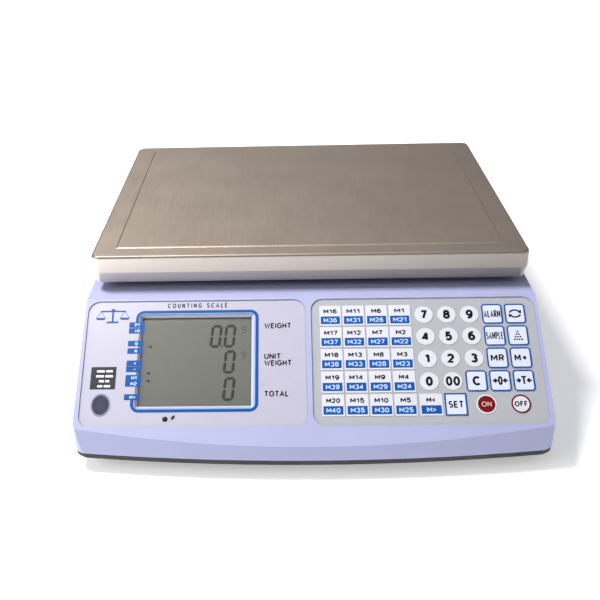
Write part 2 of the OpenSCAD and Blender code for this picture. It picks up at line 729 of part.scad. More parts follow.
module pan_cushions() color([0.15, 0.15, 0.16]) for (x = [-1, 1], y = [-1, 1])
    translate([x * arm_end[0], pan_y + y * arm_end[1], 0]) {
        translate([0, 0, 106.4]) cylinder(r = 9, h = pan_z + plateau_h - 2 * sheet - 106.4 + 0.8 - eps);
        translate([0, 0, 100]) cylinder(r = 3, h = 7);
    }

// ---------- feet ----------

module foot_pad() color([0.1, 0.1, 0.1]) difference() {
    union() {
        cylinder(r = foot_r - 1, h = 2);
        cylinder(r = foot_r - 3, h = 4);
    }
    translate([0, 0, 1.4]) cylinder(r = 4.6, h = 1.6);
    translate([0, 0, 2]) cylinder(r = 3.4, h = 3);
}

module foot_screw() color([0.25, 0.25, 0.27]) {
    difference() {
        translate([0, 0, 4.3]) cylinder(r = foot_r, h = 4.4);
        for (i = [0 : 23]) rotate([0, 0, 15 * i]) translate([foot_r + 0.5, 0, 3])
            cylinder(r = 1.1, h = 6, $fn = 16);
    }
    translate([0, 0, 1.7]) cylinder(r = 4.3, h = 1);
    translate([0, 0, 2.6]) cylinder(r = 3.1, h = 2);
    translate([0, 0, 8.6]) cylinder(r = foot_stud_r, h = 14.4);
}

// ---------- nodes ----------

base_tray();
upper_housing();
case_screws();
display_overlay();
display_window();
lcd_glass();
lcd_frame();
display_board();
keypad_overlay();
keypad_circuit();
display_ribbon();
memory_keys();
main_board();
board_screws();
load_cell();
load_cell_bolts();
overload_stop();
load_cell_cable();
battery();
power_leads();
battery_door();
dc_jack();
level_vial();
charge_led();
pan();
pan_support();
support_bolts();
pan_cushions();
foot_place(-1, true) foot_pad();  // foot_pad_fl
foot_place(1, true) foot_pad();  // foot_pad_fr
foot_place(-1, false) foot_pad();  // foot_pad_rl
foot_place(1, false) foot_pad();  // foot_pad_rr
foot_place(-1, true) foot_screw();  // foot_screw_fl
foot_place(1, true) foot_screw();  // foot_screw_fr
foot_place(-1, false) foot_screw();  // foot_screw_rl
foot_place(1, false) foot_screw();  // foot_screw_rr
digit(0, 3);  // key_0
digit(0, 2);  // key_1
digit(1, 2);  // key_2
digit(2, 2);  // key_3
digit(0, 1);  // key_4
digit(1, 1);  // key_5
digit(2, 1);  // key_6
digit(0, 0);  // key_7
digit(1, 0);  // key_8
digit(2, 0);  // key_9
digit(1, 3);  // key_00
square_cap(2, 3);  // key_clear
square_cap(3, 3);  // key_zero
square_cap(4, 3);  // key_tare
square_cap(3, 2);  // key_recall
square_cap(4, 2);  // key_add
square_cap(3, 1);  // key_sample
square_cap(4, 1);  // key_quantity
square_cap(3, 0);  // key_alarm
square_cap(4, 0);  // key_swap
on_panel(set_u, last_v) key_body() set_outline();  // key_set
on_panel(shift_u, last_v) key_body() cell_outline();  // key_shift
on_panel(on_u, last_v) key_body() power_outline();  // key_on
on_panel(off_u, last_v) key_body() power_outline();  // key_off
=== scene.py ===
"""Looks for a bench counting scale: materials, printed legends, camera, floor and lights."""

import math

import bmesh
import bpy
from mathutils import Matrix, Vector


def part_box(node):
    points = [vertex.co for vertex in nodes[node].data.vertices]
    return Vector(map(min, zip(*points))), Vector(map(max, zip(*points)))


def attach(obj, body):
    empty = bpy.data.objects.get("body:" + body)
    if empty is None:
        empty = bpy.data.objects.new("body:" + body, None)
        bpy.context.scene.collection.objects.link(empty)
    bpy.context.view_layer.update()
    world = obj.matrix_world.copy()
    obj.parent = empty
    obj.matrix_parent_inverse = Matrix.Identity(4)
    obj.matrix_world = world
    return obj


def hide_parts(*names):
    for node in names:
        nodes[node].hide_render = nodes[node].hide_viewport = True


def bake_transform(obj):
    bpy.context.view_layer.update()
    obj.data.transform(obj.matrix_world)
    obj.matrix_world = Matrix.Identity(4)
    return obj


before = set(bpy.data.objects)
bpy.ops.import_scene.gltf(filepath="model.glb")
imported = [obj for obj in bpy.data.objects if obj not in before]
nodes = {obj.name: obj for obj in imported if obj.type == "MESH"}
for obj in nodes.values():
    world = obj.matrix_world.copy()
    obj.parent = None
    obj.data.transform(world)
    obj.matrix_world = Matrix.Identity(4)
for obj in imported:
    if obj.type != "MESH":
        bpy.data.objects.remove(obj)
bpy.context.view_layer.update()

MM = 0.001

# The console's slope, and its own axes: u across, v down the slope, n out of it, in millimetres.
# n is 0 at the console's face, and v is 0 at the films' upper edge.
SLOPE = math.radians(36)
CS, SN = math.cos(SLOPE), math.sin(SLOPE)
# Tops of the films, the keys and the liquid crystal, then the thickness of a film and of a print
OVERLAY_N = -0.8
KEY_N = -0.5
LCD_N = -3.8
FILM = 0.5
INK = 0.03
overlay_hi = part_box("display_overlay")[1]
PANEL_Y = overlay_hi.y / MM + (OVERLAY_N - FILM) * SN
PANEL_Z = overlay_hi.z / MM - OVERLAY_N * CS
PANEL = Matrix(
    (
        (MM, 0, 0, 0),
        (0, MM * CS, -MM * SN, PANEL_Y * MM),
        (0, MM * SN, MM * CS, PANEL_Z * MM),
        (0, 0, 0, 1),
    )
)



def console_place(name):
    """u and v of the middle of a node's box."""
    lo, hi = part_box(name)
    y, z = (lo.y + hi.y) / 2 / MM - PANEL_Y, (lo.z + hi.z) / 2 / MM - PANEL_Z
    return (lo.x + hi.x) / 2 / MM, -(y * CS + z * SN)


pan_lo, pan_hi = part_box("pan")

# ---------------------------------------------------------------- materials


def srgb(r, g, b):
    """A colour given from 0 to 255, as Blender's linear values."""

    def lin(c):
        c /= 255
        return c / 12.92 if c <= 0.04045 else ((c + 0.055) / 1.055) ** 2.4

    return (lin(r), lin(g), lin(b), 1.0)


def shades(base, spread):
    """A colour darkened and the same colour lightened by a fraction of itself."""
    return [tuple(min(1.0, c * k) for c in base[:3]) + (1.0,) for k in (1 - spread, 1 + spread)]


class Surface:
    """A Principled material whose colour, roughness and bump vary over the surface."""

    def __init__(self, name, rough=0.5, metallic=0.0, **sockets):
        self.mat = bpy.data.materials.new(name)
        self.mat.use_nodes = True
        self.tree = self.mat.node_tree
        self.tree.nodes.clear()
        out = self.tree.nodes.new("ShaderNodeOutputMaterial")
        self.bsdf = self.tree.nodes.new("ShaderNodeBsdfPrincipled")
        self.tree.links.new(self.bsdf.outputs[0], out.inputs[0])
        self.bsdf.inputs["Roughness"].default_value = rough
        self.bsdf.inputs["Metallic"].default_value = metallic
        for key, value in sockets.items():
            self.bsdf.inputs[key.replace("_", " ")].default_value = value
        self.coord = self.tree.nodes.new("ShaderNodeTexCoord")
        self.normal = None

    def link(self, a, b):
        self.tree.links.new(a, b)

    def node(self, kind, **props):
        n = self.tree.nodes.new(kind)
        for key, value in props.items():
            setattr(n, key, value)
        return n

    def xyz(self, kind):
        """The three parts of the object's own coordinates or normal."""
        parts = self.node("ShaderNodeSeparateXYZ")
        self.link(self.coord.outputs[kind], parts.inputs[0])
        return parts.outputs

    def mapped(self, scale):
        """Object coordinates, stretched: scale is cells per metre along each axis."""
        m = self.node("ShaderNodeMapping")
        m.inputs["Scale"].default_value = scale
        self.link(self.coord.outputs["Object"], m.inputs["Vector"])
        return m.outputs["Vector"]

    def noise(self, scale, detail=3.0, rough=0.55, distort=0.0):
        """Noise with as many cells per metre as scale says, alike or different along each axis."""
        n = self.node("ShaderNodeTexNoise")
        n.inputs["Scale"].default_value = 1.0
        n.inputs["Detail"].default_value = detail
        n.inputs["Roughness"].default_value = rough
        n.inputs["Distortion"].default_value = distort
        self.link(self.mapped(scale if isinstance(scale, tuple) else (scale,) * 3), n.inputs["Vector"])
        return n.outputs["Fac"]

    def range(self, value, a, b, lo=0.3, hi=0.7):
        """From a to b while the value goes from lo to hi; noise mostly stays from 0.3 to 0.7."""
        r = self.node("ShaderNodeMapRange")
        self.link(value, r.inputs["Value"])
        r.inputs["From Min"].default_value = lo
        r.inputs["From Max"].default_value = hi
        r.inputs["To Min"].default_value = a
        r.inputs["To Max"].default_value = b
        return r.outputs["Result"]

    def math(self, op, a, b=None):
        m = self.node("ShaderNodeMath", operation=op)
        for i, v in enumerate((a, b)):
            if v is None:
                continue
            if isinstance(v, (int, float)):
                m.inputs[i].default_value = v
            else:
                self.link(v, m.inputs[i])
        return m.outputs[0]

    def between(self, fac, a, b):
        """The value between two others."""
        m = self.node("ShaderNodeMix", data_type="FLOAT")
        for socket, v in ((m.inputs["Factor"], fac), (m.inputs[2], a), (m.inputs[3], b)):
            self.link(v, socket)
        return m.outputs[0]

    def scaled(self, colour, by):
        m = self.node("ShaderNodeVectorMath", operation="SCALE")
        self.link(colour, m.inputs[0])
        self.link(by, m.inputs["Scale"])
        return m.outputs[0]

    def mix(self, fac, a, b):
        """The colour between two others."""
        m = self.node("ShaderNodeMix", data_type="RGBA")
        self.link(fac, m.inputs["Factor"])
        for socket, v in ((m.inputs[6], a), (m.inputs[7], b)):
            if isinstance(v, tuple):
                socket.default_value = v
            else:
                self.link(v, socket)
        return m.outputs[2]

    def colour(self, base, spread, scale, detail=4.0):
        """Colour between base darkened and base lightened by spread, in soft patches."""
        dark, light = shades(base, spread)
        out = self.mix(self.range(self.noise(scale, detail), 0, 1), dark, light)
        self.link(out, self.bsdf.inputs["Base Color"])
        return out

    def roughness(self, lo, hi, scale, detail=5.0):
        """Roughness that drifts between two values."""
        self.link(self.range(self.noise(scale, detail), lo, hi), self.bsdf.inputs["Roughness"])

    def bump(self, height, depth, strength):
        """Adds a bump of depth metres from a height socket."""
        b = self.node("ShaderNodeBump")
        b.inputs["Strength"].default_value = strength
        b.inputs["Distance"].default_value = depth
        self.link(height, b.inputs["Height"])
        if self.normal is not None:
            self.link(self.normal, b.inputs["Normal"])
        self.normal = b.outputs["Normal"]
        self.link(self.normal, self.bsdf.inputs["Normal"])


def moulded(name, base, rough=(0.42, 0.56), grain=2600, depth=0.00004, spread=0.02):
    """Moulded plastic or rubber with a spark-eroded grain and a faint waviness."""
    s = Surface(name)
    s.colour(base, spread, 35)
    s.roughness(*rough, 60)
    s.bump(s.noise(grain, 2.0), depth, 0.55)
    s.bump(s.noise(90, 3.0), 0.0002, 0.06)
    return s.mat


def film(name, base, rough=(0.3, 0.42), spread=0.015):
    """Printed polyester film with a fine matt texture."""
    s = Surface(name)
    s.colour(base, spread, 120)
    s.roughness(*rough, 150)
    s.bump(s.noise(5200, 1.0), 0.00002, 0.5)
    return s.mat


def ink(name, base, rough=(0.35, 0.5)):
    """Screen-printed ink: slightly uneven cover and gloss."""
    s = Surface(name, Specular_IOR_Level=0.22)
    s.colour(base, 0.05, 900)
    s.roughness(*rough, 700)
    s.bump(s.noise(6000, 1.0), 0.00001, 0.4)
    return s.mat


# Colour that the pan's skirt is drawn towards, and how far
SKIRT_GREY, SKIRT_SHARE = (0.43, 0.415, 0.4, 1.0), 0.6


def pan_painted_light(s, colour):
    """Painted light and shade on the pan: top and folded skirt lighter towards -X, the skirt's upper edge
    lighter as a painted reflection, painted shade on the fold and the pressed step, heaviest towards -X,
    and the skirt drawn towards a cooler grey.
    """
    x, _, z = s.xyz("Object")
    up = s.xyz("Normal")[2]
    ends = (pan_lo.x, pan_hi.x)
    skirt_z = (pan_hi.z - 16.5 * MM, pan_hi.z - 4.5 * MM)
    on_skirt = s.range(s.math("ABSOLUTE", up), 1, 0, 0.2, 0.9)
    colour = s.mix(s.math("MULTIPLY", on_skirt, SKIRT_SHARE), colour, SKIRT_GREY)
    # painted light: the top lighter towards -X
    top = s.range(x, 1.42, 0.98, *ends)
    # painted light: the skirt lighter towards -X, and a painted reflection lighter towards its upper edge
    skirt = s.math("MULTIPLY", s.range(x, 1.3, 0.62, *ends), s.range(z, 0.9, 1.1, *skirt_z))
    # surfaces that lean, which are the fold and the pressed step round the top
    leaning = s.math("MULTIPLY", s.range(up, 0, 1, 0.15, 0.5), s.range(up, 1, 0, 0.97, 0.998))
    # painted shade: a dark line on those leaning surfaces, heaviest towards -X
    fold_painted_shade = s.math("MULTIPLY", leaning, s.range(x, 0.72, 0.1, pan_lo.x, 0.1))
    unshaded_share = s.math("SUBTRACT", 1.0, fold_painted_shade)
    return s.scaled(colour, s.math("MULTIPLY", s.between(on_skirt, top, skirt), unshaded_share))


def brushed(name, base, along, rough=(0.26, 0.4), depth=0.000035, spread=0.1, fine=3400, paint_light=None):
    """Brushed metal whose grain runs along one axis; along y it turns to run up a sheet's sides."""
    s = Surface(name, metallic=1.0)
    slow = 40
    across = {"y": (fine, slow, slow), "x": (slow, fine, slow), "z": (fine, fine, slow)}[along]
    grain = s.noise(across, 3.0, 0.6)
    if along == "y":
        on_side = s.math("GREATER_THAN", s.math("ABSOLUTE", s.xyz("Normal")[0]), 0.75)
        grain = s.between(on_side, grain, s.noise((slow, fine, slow), 3.0, 0.6))
    lined = s.mix(s.range(grain, 0, 1), *shades(base, spread))
    colour = s.mix(s.range(s.noise(22, 4.0), 0.0, 0.5), lined, shades(base, 0.035)[0])
    # only the pan passes a function here; it adds painted light and shade over the colour
    if paint_light is not None:
        colour = paint_light(s, colour)
    s.link(colour, s.bsdf.inputs["Base Color"])
    worn = s.math("ADD", s.range(grain, *rough), s.range(s.noise(30, 5.0), -0.01, 0.02))
    s.link(worn, s.bsdf.inputs["Roughness"])
    s.bump(grain, depth, 0.6)
    scratch = s.noise((900, 60, 60), 2.0, 0.5, 0.6)
    s.bump(s.math("POWER", scratch, 6.0), 0.00008, 0.35)
    return s.mat


def cast(name, base):
    """Rough cast or blackened metal."""
    s = Surface(name, metallic=0.9)
    s.colour(base, 0.08, 60)
    s.roughness(0.45, 0.65, 200)
    s.bump(s.noise(1300, 4.0), 0.00012, 0.6)
    return s.mat


def clear_film(name):
    """Thin clear plastic with a little shine."""
    s = Surface(name, Transmission_Weight=1.0, IOR=1.2, Alpha=0.12)
    s.colour(srgb(232, 236, 242), 0.01, 100)
    s.roughness(0.04, 0.1, 80)
    s.bump(s.noise(40, 2.0), 0.00005, 0.08)
    return s.mat


def lcd_face(name):
    """Reflective liquid crystal: grey-green, with a faint lattice of unlit elements."""
    s = Surface(name, Coat_Weight=0.25, Coat_Roughness=0.08)
    base = s.colour(srgb(96, 96, 88), 0.02, 60)
    lattice = s.noise((260, 18, 18), 1.0)
    s.link(s.mix(s.range(lattice, 0.0, 0.4), base, srgb(91, 91, 83)), s.bsdf.inputs["Base Color"])
    s.roughness(0.32, 0.4, 120)
    s.bump(s.noise(4000, 1.0), 0.00001, 0.3)
    return s.mat


def light_table(name):
    """Matt white table top. It glows faintly, so its shadows stay pale, and more strongly far off."""
    s = Surface(name)
    away = s.node("ShaderNodeVectorMath", operation="LENGTH")
    s.link(s.coord.outputs["Object"], away.inputs[0])
    near, far = 0.5, 1.5
    s.link(s.range(away.outputs["Value"], 0.36, 0.8, near, far), s.bsdf.inputs["Emission Strength"])
    s.colour(srgb(246, 246, 247), 0.006, 35)
    s.roughness(0.55, 0.7, 60)
    s.bump(s.noise(300, 2.0), 0.00005, 0.5)
    s.bsdf.inputs["Emission Color"].default_value = (1.0, 1.0, 1.0, 1.0)
    return s.mat


MAT = {
    "housing": moulded("housing_lilac", srgb(157, 160, 194), grain=2300, depth=0.00005),
    "tray": moulded("tray_dark", srgb(34, 29, 33), rough=(0.5, 0.68), grain=1700, depth=0.00009),
    "foot": moulded("foot_black", srgb(34, 34, 36), rough=(0.4, 0.6), grain=1900),
    "rubber": moulded(
        "sole_rubber",
        srgb(30, 30, 31),
        rough=(0.7, 0.9),
        grain=900,
        depth=0.00015,
        spread=0.12,
    ),
    "film_left": film("film_left", srgb(169, 167, 182)),
    "film_right": film("film_right", srgb(162, 163, 169)),
    "key": film("key_white", srgb(201, 201, 209), rough=(0.28, 0.38)),
    "key_square": film("key_pale", srgb(200, 205, 222), rough=(0.28, 0.38)),
    "white": ink("ink_white", srgb(214, 218, 228)),
    "black": ink("ink_black", srgb(9, 9, 12)),
    "title": ink("ink_title", srgb(44, 44, 60)),
    "plate": ink("ink_plate", srgb(44, 41, 48)),
    "blue": ink("ink_blue", srgb(4, 73, 146)),
    "azure": ink("ink_azure", srgb(0, 71, 140)),
    "sky": ink("ink_sky", srgb(130, 172, 216)),
    "ice": ink("ink_ice", srgb(176, 200, 232)),
    "navy": ink("ink_navy", srgb(8, 70, 138)),
    "red": ink("ink_red", srgb(106, 10, 10)),
    "maroon": ink("ink_maroon", srgb(92, 12, 14)),
    "blush": ink("ink_blush", srgb(206, 168, 170)),
    "lcd": lcd_face("lcd_face"),
    "segment": ink("lcd_segment", srgb(46, 48, 44), rough=(0.4, 0.5)),
    "faint": ink("lcd_faint", srgb(74, 76, 70), rough=(0.4, 0.5)),
    "ghost": ink("lcd_unlit", srgb(100, 102, 94), rough=(0.35, 0.4)),
    # near-black wall of the gap under the window's surround: painted shade
    "gap": ink("bezel_gap_painted_shade", srgb(40, 42, 46), rough=(0.5, 0.6)),
    "window": clear_film("window_clear"),
    "border": film("window_border", srgb(180, 182, 200)),
    "pan": brushed(
        "pan_stainless",
        srgb(186, 171, 157),
        "y",
        rough=(0.4, 0.46),
        depth=0.00002,
        spread=0.03,
        # painted light and shade over the pan's colour
        paint_light=pan_painted_light,
    ),
    "cell": brushed("cell_aluminium", srgb(196, 198, 202), "x", fine=1600),
    "cast": cast("support_cast", srgb(176, 178, 182)),
    "zinc": brushed("screw_zinc", srgb(196, 198, 200), "z", fine=2200),
    "oxide": cast("bolt_oxide", srgb(52, 52, 56)),
    "board": film("board_green", srgb(28, 104, 54), spread=0.1),
    "frame": moulded("frame_white", srgb(222, 222, 216)),
    "battery": moulded("battery_case", srgb(72, 76, 90), grain=1200, depth=0.00008),
    "lead": moulded("lead_red", srgb(170, 36, 30), rough=(0.35, 0.45)),
    "cable": moulded("cable_grey", srgb(96, 96, 100), rough=(0.5, 0.6)),
    "ribbon": film("ribbon_grey", srgb(180, 180, 186), spread=0.06),
    "circuit": film("circuit_film", srgb(178, 178, 150), spread=0.06),
    "jack": moulded("jack_black", srgb(28, 28, 30), rough=(0.25, 0.4)),
    "sleeve": moulded("level_sleeve", srgb(116, 114, 138), rough=(0.35, 0.5), grain=1800),
    "tint": ink("level_tint", srgb(58, 57, 75), rough=(0.3, 0.4)),
    "tint_ring": ink("level_ring", srgb(72, 70, 90), rough=(0.3, 0.4)),
    "floor": light_table("floor_pale"),
}

LOOKS = {
    "base_tray": "tray",
    "battery_door": "tray",
    "upper_housing": "housing",
    "case_screws": "zinc",
    "display_overlay": "film_left",
    "display_window": "window",
    "lcd_glass": "lcd",
    "lcd_frame": "frame",
    "display_board": "board",
    "keypad_overlay": "film_right",
    "keypad_circuit": "circuit",
    "display_ribbon": "ribbon",
    "memory_keys": "key",
    "main_board": "board",
    "board_screws": "zinc",
    "load_cell": "cell",
    "load_cell_bolts": "oxide",
    "overload_stop": "zinc",
    "load_cell_cable": "cable",
    "battery": "battery",
    "power_leads": "lead",
    "dc_jack": "jack",
    "level_vial": "sleeve",
    "charge_led": "black",
    "pan": "pan",
    "pan_support": "cast",
    "support_bolts": "oxide",
    "pan_cushions": "rubber",
    "key_on": "white",
}
SQUARE_KEYS = (
    "key_clear",
    "key_zero",
    "key_tare",
    "key_recall",
    "key_add",
    "key_sample",
    "key_quantity",
    "key_alarm",
    "key_swap",
    "key_set",
)


def look_of(name):
    """Name of a node's material; whatever isn't listed is a plain white key."""
    if name in LOOKS:
        return LOOKS[name]
    if name.startswith("foot_pad"):
        return "rubber"
    if name.startswith("foot_screw"):
        return "foot"
    return "key_square" if name in SQUARE_KEYS else "key"


for name, obj in nodes.items():
    obj.data.materials.clear()
    obj.data.materials.append(MAT[look_of(name)])

# the two mouldings have slightly rounded edges
for name, radius in (("upper_housing", 1.6), ("base_tray", 1.0)):
    soft = nodes[name].modifiers.new("soft_edges", "BEVEL")
    soft.width = radius * MM
    soft.segments = 3
    soft.limit_method = "ANGLE"
    soft.angle_limit = math.radians(20)
    soft.harden_normals = True


def middle(name):
    """Middle of a node's box."""
    low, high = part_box(name)
    return (Vector(low) + Vector(high)) / 2


# The load cell is drawn by a copy of its own, with its place baked in, and the part itself is hidden.
# Its long faces have points only at their ends. The middles of the bolts at its fixed end and of
# those at its free end, on the pan's support, are found, but nothing uses them.
cell_bar = bpy.data.objects.new("load_cell_bar", nodes["load_cell"].data.copy())
bpy.context.scene.collection.objects.link(cell_bar)
cell_bar.matrix_world = nodes["load_cell"].matrix_world.copy()
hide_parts("load_cell")
fixed_end, free_end = middle("load_cell_bolts"), middle("support_bolts")
free_end.z = fixed_end.z
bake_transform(cell_bar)

# ---------------------------------------------------------------- shapes


def rounded(w, h, r, steps=6):
    """Outline of a rounded rectangle about the origin, anticlockwise."""
    pts = []
    for cx, cy, a0 in ((1, 1, 0), (-1, 1, 90), (-1, -1, 180), (1, -1, 270)):
        for i in range(steps + 1):
            a = math.radians(a0 + 90 * i / steps)
            pts.append((cx * (w / 2 - r) + r * math.cos(a), cy * (h / 2 - r) + r * math.sin(a)))
    return pts


def disc(r, steps=40):
    """Outline of a circle about the origin."""
    return [(r * math.cos(math.tau * i / steps), r * math.sin(math.tau * i / steps)) for i in range(steps)]


def moved(pts, u, v):
    """An outline shifted across by u and down the slope by v."""
    return [(x + u, y - v) for x, y in pts]


def arc(cx, cy, rx, ry, a0, a1, steps=14):
    """Points along part of an ellipse, from angle a0 to a1 in degrees."""
    turns = [math.radians(a0 + (a1 - a0) * i / steps) for i in range(steps + 1)]
    return [(cx + rx * math.cos(a), cy + ry * math.sin(a)) for a in turns]


def oval(cx, cy, rx, ry):
    """Points all the way round an ellipse, the last of them the same as the first."""
    pts = arc(cx, cy, rx, ry, 0, 360, 24)
    return pts[:-1] + pts[:1]


# Plain upright lettering: for each sign its width and its pen strokes, in a box 1 high
BOWL = [(0, 1), (0.3, 1)] + arc(0.3, 0.74, 0.3, 0.26, 90, -90) + [(0, 0.48)]
SIX = arc(0.42, 0.52, 0.42, 0.48, 70, 190) + arc(0.31, 0.31, 0.31, 0.31, 180, 540)
GLYPHS = {
    " ": (0.3, []),
    "0": (0.6, [oval(0.3, 0.5, 0.3, 0.5)]),
    "1": (0.36, [[(0, 0.76), (0.34, 1)], [(0.32, 1), (0.32, 0)]]),
    "2": (0.6, [arc(0.3, 0.71, 0.3, 0.29, 170, -35) + [(0, 0), (0.6, 0)]]),
    "3": (0.6, [arc(0.3, 0.77, 0.27, 0.23, 150, -90), arc(0.29, 0.27, 0.31, 0.27, 90, -150)]),
    "4": (0.64, [[(0.64, 0.25), (0, 0.25), (0.45, 1)], [(0.47, 1), (0.47, 0)]]),
    "5": (0.6, [[(0.56, 1), (0.1, 1), (0.05, 0.52)] + arc(0.29, 0.32, 0.31, 0.32, 110, -150)]),
    "6": (0.62, [SIX]),
    "7": (0.58, [[(0, 1), (0.58, 1), (0.2, 0)]]),
    "8": (0.6, [oval(0.3, 0.77, 0.26, 0.23), oval(0.3, 0.28, 0.3, 0.28)]),
    "9": (0.62, [[(0.62 - x, 1 - y) for x, y in SIX]]),
    "A": (0.74, [[(0, 0), (0.37, 1), (0.74, 0)], [(0.15, 0.32), (0.59, 0.32)]]),
    "C": (0.7, [arc(0.4, 0.5, 0.4, 0.5, 45, 315)]),
    "E": (0.52, [[(0.52, 1), (0, 1), (0, 0), (0.52, 0)], [(0, 0.52), (0.46, 0.52)]]),
    "F": (0.5, [[(0.5, 1), (0, 1), (0, 0)], [(0, 0.5), (0.44, 0.5)]]),
    "G": (0.76, [arc(0.4, 0.5, 0.4, 0.5, 45, 335) + [(0.76, 0.48), (0.44, 0.48)]]),
    "H": (0.6, [[(0, 0), (0, 1)], [(0.6, 0), (0.6, 1)], [(0, 0.5), (0.6, 0.5)]]),
    "I": (0.0, [[(0, 0), (0, 1)]]),
    "L": (0.48, [[(0, 1), (0, 0), (0.48, 0)]]),
    "M": (0.8, [[(0, 0), (0, 1)], [(0.8, 0), (0.8, 1)], [(0, 1), (0.4, 0.3), (0.8, 1)]]),
    "N": (0.62, [[(0, 0), (0, 1)], [(0.62, 0), (0.62, 1)], [(0, 1), (0.62, 0)]]),
    "O": (0.8, [oval(0.4, 0.5, 0.4, 0.5)]),
    "P": (0.58, [[(0, 0)] + BOWL]),
    "R": (0.6, [[(0, 0)] + BOWL, [(0.3, 0.48), (0.6, 0)]]),
    "S": (0.58, [arc(0.3, 0.75, 0.27, 0.25, 40, 250) + arc(0.29, 0.26, 0.29, 0.26, 70, -140)]),
    "T": (0.64, [[(0, 1), (0.64, 1)], [(0.32, 1), (0.32, 0)]]),
    "U": (0.6, [[(0, 1)] + arc(0.3, 0.3, 0.3, 0.3, 180, 360) + [(0.6, 1)]]),
    "W": (1.0, [[(0, 1), (0.26, 0), (0.5, 0.85), (0.74, 0), (1.0, 1)]]),
    "+": (0.66, [[(0, 0.47), (0.66, 0.47)], [(0.33, 0.12), (0.33, 0.82)]]),
    "-": (0.5, [[(0, 0.45), (0.5, 0.45)]]),
    "<": (0.5, [[(0.5, 0.8), (0, 0.45), (0.5, 0.1)]]),
    ">": (0.5, [[(0, 0.8), (0.5, 0.45), (0, 0.1)]]),
}


class Print:
    """Thin closed plates of ink on the console, gathered into one piece."""

    def __init__(self, name, body, level, thick=INK):
        self.name, self.body = name, body
        self.n0, self.n1 = level, level + thick
        self.bm = bmesh.new()
        self.mats = []

    def index(self, mat):
        """Slot of a material on this piece, added when it is new."""
        if mat not in self.mats:
            self.mats.append(mat)
        return self.mats.index(mat)

    def verts(self, pts, n):
        return [self.bm.verts.new((x, y, n)) for x, y in pts]

    def face(self, verts, mat):
        self.bm.faces.new(verts).material_index = self.index(mat)

    def plate(self, pts, mat, lift=0.0):
        """A flat plate from its outline; lift raises its top."""
        top, low = self.verts(pts, self.n1 + lift), self.verts(pts, self.n0)
        self.face(top, mat)
        self.face(low[::-1], mat)
        for i in range(len(pts)):
            j = (i + 1) % len(pts)
            self.face((low[i], low[j], top[j], top[i]), mat)

    def band(self, right, left, mat, lift=0.0, closed=True):
        """A band between two lines with as many points, open or closed on itself."""
        rt, rl = self.verts(right, self.n1 + lift), self.verts(right, self.n0)
        lt, ll = self.verts(left, self.n1 + lift), self.verts(left, self.n0)
        for i in range(len(right) - (0 if closed else 1)):
            j = (i + 1) % len(right)
            self.face((rt[i], rt[j], lt[j], lt[i]), mat)
            self.face((rl[j], rl[i], ll[i], ll[j]), mat)
            self.face((rl[i], rl[j], rt[j], rt[i]), mat)
            self.face((ll[j], ll[i], lt[i], lt[j]), mat)
        if not closed:
            self.face((rl[0], rt[0], lt[0], ll[0]), mat)
            self.face((rt[-1], rl[-1], ll[-1], lt[-1]), mat)

    def stroke(self, pts, t, mat, lift=0.0):
        """A line of even thickness t; it closes where its last point is its first."""
        closed = pts[0] == pts[-1]
        line = [Vector(q) for q in (pts[:-1] if closed else pts)]
        count = len(line)
        sides = ([], [])
        for i, q in enumerate(line):
            before = line[i - 1] if closed or i else None
            after = line[(i + 1) % count] if closed or i < count - 1 else None
            d0 = (q - before).normalized() if before is not None else (after - q).normalized()
            d1 = (after - q).normalized() if after is not None else d0
            n0 = Vector((-d0.y, d0.x))
            mitre = (n0 + Vector((-d1.y, d1.x))).normalized()
            reach = t / 2 / max(mitre.dot(n0), 0.6)
            sides[0].append(q + mitre * reach)
            sides[1].append(q - mitre * reach)
        self.band(sides[1], sides[0], mat, lift, closed)

    def text(self, words, u, v, height, mat, width=None, weight=0.19, space=0.11, left=False, lift=0.0):
        """Lettering with its middle at u, v, or its left edge at u, or stretched to a width."""
        glyphs = [GLYPHS[c] for c in words]
        t = height * weight
        tall = height - t
        step = t + space * height
        gaps = step * (len(glyphs) - 1)
        drawn = sum(g[0] for g in glyphs)
        wide = tall if width is None else (width - t - gaps) / drawn
        x = u + t / 2 if left else u - (drawn * wide + gaps) / 2
        for advance, strokes in glyphs:
            for points in strokes:
                line = [(x + wide * px, -v + tall * (py - 0.5)) for px, py in points]
                self.stroke(line, t, mat, lift)
            x += advance * wide + step

    def make(self):
        """Sets the plates on the console, where they ride their body, and returns the object."""
        self.bm.normal_update()
        bmesh.ops.triangulate(self.bm, faces=[f for f in self.bm.faces if len(f.verts) > 4])
        mesh = bpy.data.meshes.new(self.name)
        self.bm.to_mesh(mesh)
        self.bm.free()
        mesh.transform(PANEL)
        for m in self.mats:
            mesh.materials.append(MAT[m])
        obj = bpy.data.objects.new(self.name, mesh)
        bpy.context.scene.collection.objects.link(obj)
        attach(obj, self.body)
        return obj


